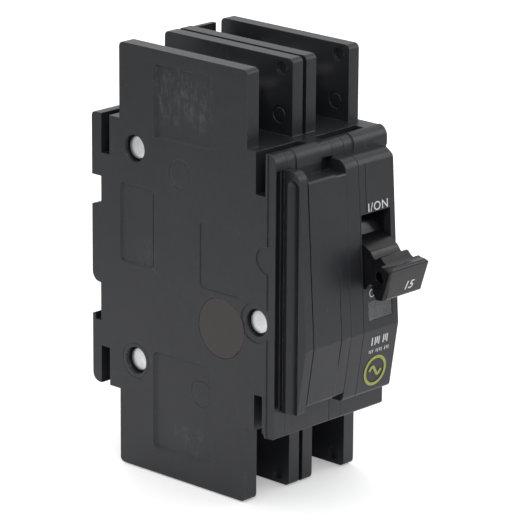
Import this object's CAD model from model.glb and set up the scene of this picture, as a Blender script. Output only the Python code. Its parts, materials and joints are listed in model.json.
"""Looks, print, stage and camera for a small two-rocker switch unit loaded as CAD pieces.

X runs across its width, the nose with the handle and the print faces -Y, and Z is up.
Lengths are millimetres unless a comment says metres; Blender itself works in metres.
"""
import json
import math
from functools import cache, partial

import bmesh
import bpy
from mathutils import Matrix, Vector


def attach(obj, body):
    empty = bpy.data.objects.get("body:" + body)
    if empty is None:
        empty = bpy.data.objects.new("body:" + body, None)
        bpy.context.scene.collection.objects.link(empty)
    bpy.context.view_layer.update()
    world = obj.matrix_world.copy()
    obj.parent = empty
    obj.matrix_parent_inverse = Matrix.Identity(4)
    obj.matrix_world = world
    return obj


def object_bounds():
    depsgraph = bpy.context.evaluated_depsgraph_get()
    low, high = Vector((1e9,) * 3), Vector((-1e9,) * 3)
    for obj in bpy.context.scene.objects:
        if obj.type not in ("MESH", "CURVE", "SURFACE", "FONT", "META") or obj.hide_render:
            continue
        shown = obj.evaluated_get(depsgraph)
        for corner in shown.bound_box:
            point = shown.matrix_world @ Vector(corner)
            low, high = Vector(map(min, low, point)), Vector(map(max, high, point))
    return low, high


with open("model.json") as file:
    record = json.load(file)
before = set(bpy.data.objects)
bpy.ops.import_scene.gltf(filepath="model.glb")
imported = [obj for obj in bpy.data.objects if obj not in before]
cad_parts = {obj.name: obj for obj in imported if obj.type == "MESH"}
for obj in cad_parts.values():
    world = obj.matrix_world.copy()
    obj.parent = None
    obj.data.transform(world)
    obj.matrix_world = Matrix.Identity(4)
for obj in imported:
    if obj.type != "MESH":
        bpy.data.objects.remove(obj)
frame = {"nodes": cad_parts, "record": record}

NODES = frame["nodes"]
CAD_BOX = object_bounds()
MM = 0.001


# ---- node helpers -------------------------------------------------------------
def feed(tree, socket, value):
    """Links a socket or sets a plain value; colours may come without alpha."""
    if value is None:
        return
    if isinstance(value, bpy.types.NodeSocket):
        tree.links.new(value, socket)
    elif socket.type == "RGBA" and len(value) == 3:
        socket.default_value = (*value, 1.0)
    else:
        socket.default_value = value


def add_node(tree, kind, inputs=None, **settings):
    """New node; settings are its properties, inputs maps socket names or indices to values."""
    node = tree.nodes.new(kind)
    for name, value in settings.items():
        setattr(node, name, value)
    for key, value in (inputs or {}).items():
        feed(tree, node.inputs[key], value)
    return node


class Surface:
    """Short way to write a material. Textures use object space in millimetres."""

    def __init__(self, name):
        self.material = bpy.data.materials.new(name)
        self.material.use_nodes = True
        tree = self.material.node_tree
        tree.nodes.clear()
        self.node = partial(add_node, tree)
        self.tree = tree
        output = self.node("ShaderNodeOutputMaterial")
        self.shader = self.node("ShaderNodeBsdfPrincipled")
        feed(tree, output.inputs[0], self.shader.outputs[0])
        place = self.node("ShaderNodeTexCoord").outputs["Object"]
        self.point = self.node("ShaderNodeVectorMath", {0: place, 1: (1000.0, 1000.0, 1000.0)},
                               operation="MULTIPLY").outputs["Vector"]

    def math(self, operation, a, b):
        return self.node("ShaderNodeMath", {0: a, 1: b}, operation=operation).outputs[0]

    def add(self, a, b):
        return self.math("ADD", a, b)

    def mul(self, a, b):
        return self.math("MULTIPLY", a, b)

    def larger(self, a, b):
        return self.math("MAXIMUM", a, b)

    def invert(self, value):
        return self.math("SUBTRACT", 1.0, value)

    def average(self, a, b, share):
        """Weighted mean; share is the weight of a."""
        return self.add(self.mul(a, share), self.mul(b, 1.0 - share))

    def noise(self, scale, detail=2.0, rough=0.5, stretch=None, shift=(0.0, 0.0, 0.0),
              turn=(0.0, 0.0, 0.0)):
        point = self.point
        if stretch or any(shift) or any(turn):
            point = self.node("ShaderNodeMapping", {
                "Vector": point, "Location": shift, "Rotation": turn,
                "Scale": stretch or (1.0, 1.0, 1.0)}).outputs[0]
        return self.node("ShaderNodeTexNoise", {
            "Vector": point, "Scale": scale, "Detail": detail, "Roughness": rough}).outputs["Fac"]

    def range(self, value, low, high, to=(0.0, 1.0), smooth=False):
        """Maps low..high onto the two values of to, clamped."""
        return self.node(
            "ShaderNodeMapRange",
            {"Value": value, "From Min": low, "From Max": high, "To Min": to[0], "To Max": to[1]},
            interpolation_type="SMOOTHSTEP" if smooth else "LINEAR", clamp=True).outputs["Result"]

    def patches(self, low, high, to=(0.0, 1.0), **noise):
        """Noise cut to the band low..high."""
        return self.range(self.noise(**noise), low, high, to)

    def window(self, value, span, soft):
        """1 inside the span of a value, falling off over soft."""
        low, high = span
        return self.mul(self.range(value, low - soft, low, smooth=True),
                        self.range(value, high + soft, high, smooth=True))

    def mix(self, mask, a, b):
        return self.node("ShaderNodeMix", {"Factor": mask, 6: a, 7: b},
                         data_type="RGBA", clamp_factor=True).outputs[2]

    def tint(self, color, toward, mask, amount):
        return self.mix(self.mul(mask, amount), color, toward)

    def bump(self, height, depth, strength=1.0, normal=None):
        return self.node("ShaderNodeBump", {
            "Strength": strength, "Distance": depth * MM,
            "Height": height, "Normal": normal}).outputs[0]

    def axis(self, index):
        return self.node("ShaderNodeSeparateXYZ", {0: self.point}).outputs[index]

    def edge(self, radius, low, high):
        """1 on edges: how far a rounded normal leaves the true one."""
        rounded = self.node("ShaderNodeBevel", {"Radius": radius * MM}, samples=4).outputs[0]
        true = self.node("ShaderNodeNewGeometry").outputs["Normal"]
        match = self.node("ShaderNodeVectorMath", {0: rounded, 1: true},
                          operation="DOT_PRODUCT").outputs["Value"]
        return self.range(self.invert(match), low, high)

    def done(self, color, rough, normal, metal=0.0, **more):
        values = {"Base Color": color, "Roughness": rough, "Metallic": metal, "Normal": normal}
        values.update((name.replace("_", " "), value) for name, value in more.items())
        for name, value in values.items():
            feed(self.tree, self.shader.inputs[name], value)
        return self.material


# ---- materials ------------------------------------------------------------------
def case_rub(mat):
    """Mask of rubbed places on the case: near its top, near its bottom and at mid height."""
    y, z = mat.axis(1), mat.axis(2)

    def place(y_span, y_soft, z_span, z_soft):
        return mat.mul(mat.window(y, y_span, y_soft), mat.window(z, z_span, z_soft))

    top = place(y_span=(-36.5, -23.0), y_soft=4.0, z_span=(37.5, 45.0), z_soft=5.0)
    low = place(y_span=(-36.0, -27.0), y_soft=4.0, z_span=(-43.0, -38.0), z_soft=3.5)
    middle = place(y_span=(-19.5, -16.0), y_soft=2.0, z_span=(0.0, 4.0), z_soft=3.0)
    low_amount, middle_amount = 0.5, 0.7
    region = mat.larger(top, mat.larger(mat.mul(low, low_amount), mat.mul(middle, middle_amount)))
    patch = mat.patches(0.50, 0.70, scale=0.42, detail=7.0, rough=0.74, stretch=(1.0, 1.2, 0.8),
                        shift=(3.0, 14.0, 5.0))
    streak = mat.patches(0.54, 0.72, scale=1.0, detail=4.0, rough=0.6, stretch=(1.0, 2.6, 0.55),
                         shift=(6.0, 2.0, 4.0))
    patch_amount, streak_amount = 0.85, 0.6
    return mat.mul(region, mat.larger(mat.mul(patch, patch_amount),
                                      mat.mul(streak, streak_amount)))


def moulded(name, dark, light, rough, gloss_var, grain, wear, wear_amount, scuffs=False):
    """Moulded thermoset: cloudy resin, fine grain, flecks, hairline scratches, paler edges."""
    mat = Surface(name)
    big = mat.noise(scale=0.055, detail=3.0, rough=0.6)
    mid = mat.noise(scale=0.7, detail=5.0, rough=0.62, shift=(11.0, 3.0, 7.0))
    fine = mat.noise(scale=7.0, detail=3.0, rough=0.6)
    color = mat.mix(mat.range(mat.average(big, mid, share=0.6), 0.36, 0.64), dark, light)
    fleck = mat.patches(0.69, 0.78, scale=3.1, shift=(4.0, 9.0, 2.0))
    color = mat.tint(color, wear, fleck, amount=0.16)
    # hairline scratches in two directions
    along_z = mat.patches(0.715, 0.75, scale=1.0, stretch=(0.9, 5.0, 0.14), turn=(0.35, 0.0, 0.2),
                          shift=(2.0, 5.0, 1.0))
    along_y = mat.patches(0.725, 0.76, scale=1.0, stretch=(0.8, 0.16, 6.0), turn=(-0.25, 0.1, 0.0),
                          shift=(8.0, 1.0, 6.0))
    scratch_depth = 0.45
    scratch = mat.mul(mat.larger(along_z, along_y), scratch_depth)
    color = mat.tint(color, wear, scratch, amount=0.25)
    roughness = mat.add(rough - gloss_var / 2,
                        mat.mul(mat.average(mid, big, share=0.6), gloss_var))
    if scuffs:
        rub = case_rub(mat)
        color = mat.tint(color, (0.16, 0.165, 0.175), rub, amount=0.42)
        rub_roughness = 0.2
        roughness = mat.add(roughness, mat.mul(rub, rub_roughness))
    nick = mat.patches(0.42, 0.66, scale=0.45, detail=4.0, rough=0.65, shift=(7.0, 7.0, 1.0))
    rim = mat.edge(radius=0.13, low=0.03, high=0.24)
    color = mat.tint(color, wear, mat.mul(rim, nick), amount=wear_amount)
    normal = mat.bump(mat.noise(scale=0.35), depth=0.10, strength=0.25)
    normal = mat.bump(fine, depth=grain, strength=0.55, normal=normal)
    normal = mat.bump(mat.invert(scratch), depth=0.006, strength=0.5, normal=normal)
    return mat.done(color, roughness, normal, IOR=1.5)


def metal(name, dull, bright, rough, brush=(0.6, 9.0, 9.0), tarnish=(0.25, 0.22, 0.18),
          tarnish_amount=0.25):
    """Plated or bare metal: rolled grain, cloudy plating, tarnish spots, brighter edges."""
    mat = Surface(name)
    color = mat.mix(mat.patches(0.35, 0.65, scale=0.5, detail=4.0, rough=0.6), dull, bright)
    spot = mat.patches(0.56, 0.74, scale=1.3, detail=6.0, rough=0.68, shift=(5.0, 2.0, 8.0))
    color = mat.tint(color, tarnish, spot, amount=tarnish_amount)
    line = mat.noise(scale=1.0, detail=3.0, rough=0.6, stretch=brush)
    smoothest = rough - 0.06
    line_roughness = spot_roughness = 0.12
    roughness = mat.add(smoothest, mat.add(mat.mul(line, line_roughness),
                                           mat.mul(spot, spot_roughness)))
    rim = mat.edge(radius=0.12, low=0.08, high=0.4)
    worn = tuple(min(1.0, channel * 1.15 + 0.05) for channel in bright)
    color = mat.tint(color, worn, rim, amount=0.35)
    normal = mat.bump(mat.noise(scale=0.8), depth=0.03, strength=0.3)
    normal = mat.bump(line, depth=0.006, strength=0.6, normal=normal)
    return mat.done(color, roughness, normal, metal=1.0)


def sheet(name, dark, light, rough):
    """Pressed fibre sheet: layered flecks and short fibres."""
    mat = Surface(name)
    fibre = mat.noise(scale=1.0, detail=5.0, rough=0.7, stretch=(2.0, 0.9, 6.5),
                      turn=(0.6, 0.0, 0.0))
    cross = mat.noise(scale=1.0, detail=4.0, rough=0.7, stretch=(2.0, 6.0, 0.8),
                      turn=(0.3, 0.0, 0.0), shift=(3.0, 3.0, 3.0))
    color = mat.mix(mat.range(mat.average(fibre, cross, share=0.5), 0.36, 0.64), dark, light)
    dot = mat.patches(0.64, 0.74, scale=4.5)
    color = mat.tint(color, tuple(channel * 0.45 for channel in dark), dot, amount=0.5)
    normal = mat.bump(mat.noise(scale=6.0), depth=0.008, strength=0.4)
    normal = mat.bump(fibre, depth=0.02, strength=0.5, normal=normal)
    roughness = mat.range(cross, 0.3, 0.7, to=(rough - 0.06, rough + 0.08))
    return mat.done(color, roughness, normal, IOR=1.45)


def ink(name, dark, light, gaps):
    """Pad-printed ink: uneven film with soft grain; gaps is how strongly pinholes show."""
    mat = Surface(name)
    film = mat.noise(scale=2.2, detail=4.0, rough=0.6)
    color = mat.mix(mat.range(film, 0.3, 0.7), dark, light)
    hole = mat.patches(0.66, 0.74, scale=8.0, detail=3.0, rough=0.6)
    color = mat.tint(color, (0.02, 0.02, 0.022), hole, amount=gaps)
    roughness = mat.range(film, 0.3, 0.7, to=(0.38, 0.55))
    return mat.done(color, roughness, mat.bump(mat.noise(scale=9.0), depth=0.01, strength=0.4))


def smoked_lens():
    mat = Surface("smoked_lens")
    color = mat.mix(mat.patches(0.3, 0.7, scale=0.6, detail=3.0, rough=0.6),
                    (0.42, 0.43, 0.45), (0.50, 0.51, 0.54))
    scratch = mat.patches(0.62, 0.72, scale=1.0, detail=3.0, stretch=(1.2, 1.0, 7.0),
                          turn=(0.0, 0.3, 0.0))
    normal = mat.bump(mat.noise(scale=0.9), depth=0.04, strength=0.35)
    polished, scratch_roughness = 0.10, 0.25
    return mat.done(color, mat.add(polished, mat.mul(scratch, scratch_roughness)), normal,
                    IOR=1.49, Transmission_Weight=0.85)


def signal_red():
    mat = Surface("signal_red")
    color = mat.mix(mat.patches(0.3, 0.7, scale=0.8, detail=4.0, rough=0.6),
                    (0.50, 0.018, 0.012), (0.62, 0.03, 0.018))
    roughness = mat.patches(0.3, 0.7, to=(0.28, 0.42), scale=3.0, detail=3.0)
    return mat.done(color, roughness, mat.bump(mat.noise(scale=7.0), depth=0.01, strength=0.4))


# one material for each material slot of the record
MATERIALS = {
    "case": moulded("case_thermoset", (0.0122, 0.0128, 0.0158), (0.0178, 0.0184, 0.0215),
                    rough=0.36, gloss_var=0.08, grain=0.012, wear=(0.19, 0.193, 0.205),
                    wear_amount=0.85, scuffs=True),
    "handle": moulded("handle_gloss", (0.0045, 0.0045, 0.0054), (0.0072, 0.0072, 0.0082),
                      rough=0.24, gloss_var=0.06, grain=0.004, wear=(0.06, 0.06, 0.062),
                      wear_amount=0.5),
    "inner_plastic": moulded("inner_moulding", (0.30, 0.28, 0.23), (0.42, 0.39, 0.33),
                             rough=0.45, gloss_var=0.1, grain=0.02, wear=(0.5, 0.48, 0.42),
                             wear_amount=0.4),
    "lens": smoked_lens(),
    "flag": signal_red(),
    "fibre": sheet("aperture_fibre", (0.040, 0.036, 0.034), (0.060, 0.054, 0.051), rough=0.62),
    "liner": sheet("liner_fibre", (0.34, 0.27, 0.19), (0.50, 0.42, 0.31), rough=0.7),
    "rivet": metal("rivet_nickel", (0.70, 0.71, 0.72), (0.82, 0.83, 0.84), rough=0.38,
                   brush=(3.0, 3.0, 3.0), tarnish_amount=0.10),
    "lug": metal("lug_tin", (0.62, 0.63, 0.64), (0.74, 0.75, 0.76), rough=0.40,
                 brush=(7.0, 7.0, 0.6), tarnish_amount=0.2),
    "screw": metal("screw_zinc", (0.58, 0.57, 0.53), (0.72, 0.71, 0.68), rough=0.30,
                   brush=(5.0, 0.8, 5.0)),
    "copper": metal("copper_bare", (0.62, 0.27, 0.16), (0.74, 0.36, 0.23), rough=0.34,
                    tarnish=(0.22, 0.10, 0.06), tarnish_amount=0.45),
    "bimetal": metal("bimetal_strip", (0.42, 0.38, 0.33), (0.52, 0.48, 0.43), rough=0.36,
                     brush=(7.0, 7.0, 0.6)),
    "spring_steel": metal("spring_steel_oiled", (0.22, 0.225, 0.24), (0.32, 0.33, 0.34),
                          rough=0.30, tarnish=(0.05, 0.045, 0.04)),
    "steel": metal("steel_zinc", (0.48, 0.49, 0.50), (0.62, 0.63, 0.65), rough=0.34),
}

# ---- modifiers and materials of the CAD pieces ------------------------------------
SHARP_ANGLE = 0.6      # radians; steeper edges are rounded
SMOOTH_ANGLE = 0.85    # radians; flatter edges are shaded smooth
BEVEL_SHARE = 0.42     # widest bevel, as a share of the shortest neighbouring edge
DEFAULT_BEVEL = 0.12
BEVELS = {"left_cover": 0.07, "left_base": 0.14, "right_cover": 0.14, "right_base": 0.07,
          "case_rivets": 0.0, "toggle_spring_left": 0.0, "toggle_spring_right": 0.0,
          "braid_left": 0.0, "braid_right": 0.0}


def geometry_group(name):
    group = bpy.data.node_groups.new(name, "GeometryNodeTree")
    for direction in ("INPUT", "OUTPUT"):
        group.interface.new_socket("Geometry", in_out=direction,
                                   socket_type="NodeSocketGeometry")
    return group, partial(add_node, group)


@cache
def weight_nodes(width):
    """Bevel weight on each sharp edge, smaller beside short edges. Width in metres."""
    group, node = geometry_group("edge_weights_%d" % round(width * 1e6))

    def calc(operation, a, b):
        return node("ShaderNodeMath", {0: a, 1: b}, operation=operation).outputs[0]

    ends = node("GeometryNodeInputMeshEdgeVertices").outputs
    length = node("ShaderNodeVectorMath", {0: ends["Position 1"], 1: ends["Position 2"]},
                  operation="DISTANCE").outputs["Value"]
    index = node("GeometryNodeInputIndex").outputs[0]
    shortest = node("GeometryNodeEdgesOfVertex", {"Vertex Index": index, "Weights": length})
    at_vertex = node("GeometryNodeFieldAtIndex",
                     {"Index": shortest.outputs["Edge Index"], "Value": length},
                     domain="EDGE", data_type="FLOAT").outputs[0]
    at_ends = [node("GeometryNodeFieldAtIndex",
                    {"Index": ends["Vertex Index %d" % end], "Value": at_vertex},
                    domain="POINT", data_type="FLOAT").outputs[0] for end in (1, 2)]
    room = calc("MULTIPLY", calc("MINIMUM", *at_ends), BEVEL_SHARE / width)
    room = calc("MINIMUM", room, 1.0)
    angle = node("GeometryNodeInputMeshEdgeAngle").outputs["Unsigned Angle"]
    weight = calc("MULTIPLY", room, calc("GREATER_THAN", angle, SHARP_ANGLE))
    stored = node("GeometryNodeStoreNamedAttribute",
                  {"Geometry": node("NodeGroupInput").outputs[0],
                   "Name": "bevel_weight_edge", "Value": weight},
                  domain="EDGE", data_type="FLOAT")
    node("NodeGroupOutput", {0: stored.outputs[0]})
    return group


def shade_nodes():
    """Drops imported split normals and shades smooth with sharp edges by angle."""
    group, node = geometry_group("shade_by_angle")
    bare = node("GeometryNodeRemoveAttribute", {
        "Geometry": node("NodeGroupInput").outputs[0], "Name": "custom_normal"})
    faces = node("GeometryNodeSetShadeSmooth",
                 {"Geometry": bare.outputs[0], "Shade Smooth": True}, domain="FACE")
    angle = node("GeometryNodeInputMeshEdgeAngle").outputs["Unsigned Angle"]
    flat = node("FunctionNodeCompare", {0: angle, 1: SMOOTH_ANGLE},
                data_type="FLOAT", operation="LESS_THAN")
    edges = node("GeometryNodeSetShadeSmooth",
                 {"Geometry": faces.outputs[0], "Shade Smooth": flat.outputs[0]}, domain="EDGE")
    node("NodeGroupOutput", {0: edges.outputs[0]})
    return group


def add_modifier(obj, name, kind, **settings):
    modifier = obj.modifiers.new(name, kind)
    for key, value in settings.items():
        setattr(modifier, key, value)


def tidy(obj, bevel):
    """Joins the imported triangles and rounds the sharp edges."""
    add_modifier(obj, "weld", "WELD", merge_threshold=2e-6)
    if bevel:
        width = bevel * MM
        add_modifier(obj, "weights", "NODES", node_group=weight_nodes(width))
        add_modifier(obj, "round", "BEVEL", width=width, segments=2, limit_method="WEIGHT",
                     use_clamp_overlap=False, miter_outer="MITER_SHARP")
    add_modifier(obj, "shade", "NODES", node_group=SHADE)
    add_modifier(obj, "normals", "WEIGHTED_NORMAL", keep_sharp=True, weight=50)


SHADE = shade_nodes()
SLOTS = {part["node"]: part["material_slot"] for part in frame["record"]["subparts"]}
for name, obj in NODES.items():
    obj.data.materials.clear()
    obj.data.materials.append(MATERIALS[SLOTS[name]])
    tidy(obj, BEVELS.get(name, DEFAULT_BEVEL))

# ---- printed marks ----------------------------------------------------------------
INK_RISE = 0.03    # ink above the surface
INK_SINK = 0.02    # ink below it

# (y, z) corners of the nose's front profile
NOSE_TOP = (-63.5, 27)
NOSE_CREST = (-65.9, -12)
NOSE_BOTTOM = (-63.6, -28)

# front bar of the handle, before the handle's tilt about its pivot
PIVOT = Vector((0, -53.0, 7.2))
HANDLE_TILT = 18                # degrees
BAR_TOP = (-21.67, 4.31)        # y, z from the pivot
BAR_SPAN = (0.33, 6.81)         # y, z from the bar's lower edge to its top
RATING_X = 10.6
RATING_HEIGHT = 0.30            # share of the bar's height

STROKES_X = 10.0
# x from STROKES_X and lower reach of each upper stroke
UPPER_STROKES = ((-2.7, 1.0), (-1.65, 1.0), (-1.0, 0.55), (-0.35, 1.0),
                 (1.2, 1.0), (1.85, 0.55), (2.5, 1.0))
LOWER_PITCH = 0.6
LOWER_COUNT = 12
LOWER_GAPS = (3, 8)             # positions left blank

RING_RADIUS = 3.45
WAVE_LENGTH = 4.0
WAVE_HEIGHT = 1.05
MARK_LINE = 0.75


def axes_matrix(x_axis, y_axis, z_axis, origin):
    """Matrix from three axes and an origin in metres."""
    return Matrix((*zip(x_axis, y_axis, z_axis, origin), (0, 0, 0, 1)))


def print_plane(x, y, z, rise):
    """X right, Y up along the (y, z) direction rise, Z out of the front."""
    right = Vector((1, 0, 0))
    up = Vector((0, *rise)).normalized()
    return axes_matrix(right, up, right.cross(up), (x * MM, y * MM, z * MM))


def nose_plane(x, z):
    low, high = (NOSE_CREST, NOSE_TOP) if z > NOSE_CREST[1] else (NOSE_BOTTOM, NOSE_CREST)
    rise = (high[0] - low[0], high[1] - low[1])
    return print_plane(x, low[0] + (z - low[1]) * rise[0] / rise[1], z, rise)


def place(obj, matrix, part, material):
    obj.data.transform(matrix)
    obj.data.materials.append(material)
    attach(obj, part)


def new_mesh(name, bm):
    bmesh.ops.recalc_face_normals(bm, faces=bm.faces)
    mesh = bpy.data.meshes.new(name)
    bm.to_mesh(mesh)
    bm.free()
    obj = bpy.data.objects.new(name, mesh)
    bpy.context.scene.collection.objects.link(obj)
    return obj


def lettering(name, text, width, height, shear=0.0, bold=0.0, space=1.0):
    """Thin closed characters of a given overall size, centred on the origin."""
    curve = bpy.data.curves.new(name + "_curve", "FONT")
    curve.body = text
    curve.size = 1.0
    curve.shear = shear
    curve.offset = bold
    curve.space_character = space
    curve.extrude = 0.5
    curve.resolution_u = 6
    source = bpy.data.objects.new(name + "_tmp", curve)
    bpy.context.scene.collection.objects.link(source)
    bpy.context.view_layer.update()
    depsgraph = bpy.context.evaluated_depsgraph_get()
    mesh = bpy.data.meshes.new_from_object(source.evaluated_get(depsgraph))
    bpy.data.objects.remove(source)
    xs = [v.co.x for v in mesh.vertices]
    ys = [v.co.y for v in mesh.vertices]
    x0, x1, y0, y1 = min(xs), max(xs), min(ys), max(ys)
    for v in mesh.vertices:
        v.co.x = ((v.co.x - x0) / (x1 - x0) - 0.5) * width * MM
        v.co.y = ((v.co.y - y0) / (y1 - y0) - 0.5) * height * MM
        v.co.z = (INK_RISE if v.co.z > 0 else -INK_SINK) * MM
    bm = bmesh.new()
    bm.from_mesh(mesh)
    bmesh.ops.remove_doubles(bm, verts=bm.verts, dist=1e-7)
    bpy.data.meshes.remove(mesh)
    return new_mesh(name, bm)


def ribbon(bm, points, width, closed=False):
    """Flat printed line along (x, y) points."""
    count = len(points)
    rows = []
    for i in range(count):
        before = points[i - 1 if closed else max(i - 1, 0)]
        after = points[(i + 1) % count if closed else min(i + 1, count - 1)]
        along = (Vector(after) - Vector(before)).normalized()
        side = Vector((-along.y, along.x)) * width / 2
        row = []
        for sign, z in ((1, INK_RISE), (-1, INK_RISE), (-1, -INK_SINK), (1, -INK_SINK)):
            corner = Vector(points[i]) + side * sign
            row.append(bm.verts.new((corner.x * MM, corner.y * MM, z * MM)))
        rows.append(row)
    for i in range(count if closed else count - 1):
        a, b = rows[i], rows[(i + 1) % count]
        for j in range(4):
            bm.faces.new((a[j], a[(j + 1) % 4], b[(j + 1) % 4], b[j]))
    if not closed:
        bm.faces.new(rows[0])
        bm.faces.new(rows[-1])


def stroke_row(name, strokes, width, z):
    """Row of upright strokes, each given as x, bottom and top."""
    bm = bmesh.new()
    for x, bottom, top in strokes:
        ribbon(bm, [(x, bottom), (x, top)], width)
    place(new_mesh(name, bm), nose_plane(STROKES_X, z), "case", white)


def round_mark():
    """Ring with one wave inside."""
    bm = bmesh.new()
    turns = [i * math.pi / 24 for i in range(48)]
    ribbon(bm, [(RING_RADIUS * math.cos(turn), RING_RADIUS * math.sin(turn)) for turn in turns],
           MARK_LINE, closed=True)
    ribbon(bm, [(-WAVE_LENGTH / 2 + WAVE_LENGTH * i / 20,
                 WAVE_HEIGHT * math.sin(2 * math.pi * i / 20)) for i in range(21)], MARK_LINE)
    place(new_mesh("print_mark", bm), nose_plane(x=9.65, z=-22.7), "case", olive)


def rating():
    """Digits on the front bar of the handle, tilted with it."""
    digits = lettering("print_rating", "15", width=3.0, height=2.1, shear=0.25, bold=0.01)
    drop = 1 - RATING_HEIGHT
    flat = print_plane(RATING_X, PIVOT.y + BAR_TOP[0] - BAR_SPAN[0] * drop,
                       PIVOT.z + BAR_TOP[1] - BAR_SPAN[1] * drop, BAR_SPAN)
    tilt = (Matrix.Translation(PIVOT * MM) @ Matrix.Rotation(math.radians(HANDLE_TILT), 4, "X")
            @ Matrix.Translation(-PIVOT * MM))
    place(digits, tilt @ flat, "handle", white)


white = ink("print_white", (0.62, 0.64, 0.66), (0.74, 0.76, 0.78), gaps=0.5)
olive = ink("print_green", (0.27, 0.29, 0.055), (0.36, 0.38, 0.085), gaps=0.35)
place(lettering("print_on", "I/ON", width=6.7, height=2.05, space=1.12),
      nose_plane(x=10.1, z=17.05), "case", white)
place(lettering("print_off", "O/OFF", width=7.4, height=1.95, space=1.1),
      nose_plane(x=9.85, z=-3.15), "case", white)
stroke_row("print_strokes_upper", [(x, -reach, 1.0) for x, reach in UPPER_STROKES],
           width=0.32, z=-15.0)
stroke_row("print_strokes_lower",
           [(LOWER_PITCH * (i - (LOWER_COUNT - 1) / 2), -0.28 - 0.2 * (i % 2), 0.45)
            for i in range(LOWER_COUNT) if i not in LOWER_GAPS], width=0.20, z=-17.55)
round_mark()
rating()


# ---- stage, light and camera, in metres except where noted -------------------------
def floor_paper():
    """White to the camera, dimmer with distance to what the object reflects."""
    mat = Surface("floor_paper")
    paper = mat.mix(mat.patches(0.3, 0.7, scale=0.004, detail=3.0),
                    (0.87, 0.87, 0.87), (0.91, 0.91, 0.91))
    reach = mat.node("ShaderNodeVectorMath", {0: mat.point}, operation="LENGTH").outputs["Value"]
    near = mat.range(reach, 70.0, 430.0, to=(1.0, 0.0), smooth=True)
    seen = mat.node("ShaderNodeLightPath").outputs["Is Camera Ray"]
    color = mat.mix(seen, mat.mix(near, (0.40, 0.405, 0.425), paper), paper)
    normal = mat.bump(mat.noise(scale=0.5, detail=3.0), depth=0.05, strength=0.2)
    glow = 0.30
    return mat.done(color, 0.6, normal, Specular_IOR_Level=0.2,
                    Emission_Color=(1.0, 1.0, 1.0), Emission_Strength=mat.mul(seen, glow))


def studio_world():
    """Plain white to the camera, a soft vertical gradient to everything else."""
    world = bpy.data.worlds.new("studio")
    bpy.context.scene.world = world
    world.use_nodes = True
    world.node_tree.nodes.clear()
    node = partial(add_node, world.node_tree)
    direction = node("ShaderNodeTexCoord").outputs["Generated"]
    height = node("ShaderNodeSeparateXYZ", {0: direction}).outputs["Z"]
    ramp = node("ShaderNodeValToRGB", {0: height})
    stops = ramp.color_ramp.elements
    stops[0].color = (0.86, 0.87, 0.90, 1)
    stops[1].color = (1.15, 1.14, 1.12, 1)
    stops.new(0.40).color = (0.56, 0.57, 0.60, 1)
    seen = node("ShaderNodeLightPath").outputs["Is Camera Ray"]
    color = node("ShaderNodeMix", {"Factor": seen, 6: ramp.outputs[0], 7: (1.0, 1.0, 1.0)},
                 data_type="RGBA").outputs[2]
    background = node("ShaderNodeBackground", {"Color": color, "Strength": 1.0})
    node("ShaderNodeOutputWorld", {0: background.outputs[0]})


def area_light(name, position, size, power):
    """Rectangular light aimed at the object."""
    light = bpy.data.lights.new(name, "AREA")
    light.shape = "RECTANGLE"
    light.size, light.size_y = size
    light.energy = power
    obj = bpy.data.objects.new(name, light)
    bpy.context.scene.collection.objects.link(obj)
    obj.location = position
    aim = Vector((0, -0.03, 0)) - Vector(position)
    obj.rotation_euler = aim.to_track_quat("-Z", "Y").to_euler()


def add_camera():
    """Long lens from the front, left and a little above."""
    azimuth, elevation, roll = (math.radians(a) for a in (-46.911, 16.737, 0.405))
    distance = 864.62  # mm
    right = Vector((math.cos(azimuth), math.sin(azimuth), 0))
    back = Vector((math.sin(azimuth) * math.cos(elevation),
                   -math.cos(azimuth) * math.cos(elevation), math.sin(elevation)))
    up = back.cross(right)
    target = Vector((0, -33.358, 0)) + 2.343 * right - 0.386 * up  # mm
    rolled_right = math.cos(roll) * right + math.sin(roll) * up
    rolled_up = -math.sin(roll) * right + math.cos(roll) * up
    camera = bpy.data.cameras.new("camera")
    camera.lens = 255.2
    camera.sensor_width = 36.0
    camera.clip_start = 0.05
    camera.clip_end = 50.0
    obj = bpy.data.objects.new("camera", camera)
    bpy.context.scene.collection.objects.link(obj)
    obj.matrix_world = axes_matrix(rolled_right, rolled_up, back,
                                   (target + distance * back) * MM)
    bpy.context.scene.camera = obj


FLOOR_GAP = 0.0003
grid = bmesh.new()
bmesh.ops.create_grid(grid, x_segments=8, y_segments=8, size=4.0)
floor = new_mesh("floor", grid)
floor.location = (0, 0, CAD_BOX[0][2] - FLOOR_GAP)
floor.data.materials.append(floor_paper())
studio_world()
area_light("key", position=(-0.55, -0.65, 0.75), size=(0.5, 0.5), power=3.0)
area_light("fill", position=(0.75, -0.45, 0.30), size=(0.4, 0.5), power=1.2)
area_light("rim", position=(0.25, 0.7, 0.55), size=(0.6, 0.4), power=2.0)
add_camera()
bpy.context.scene.view_settings.view_transform = "Standard"
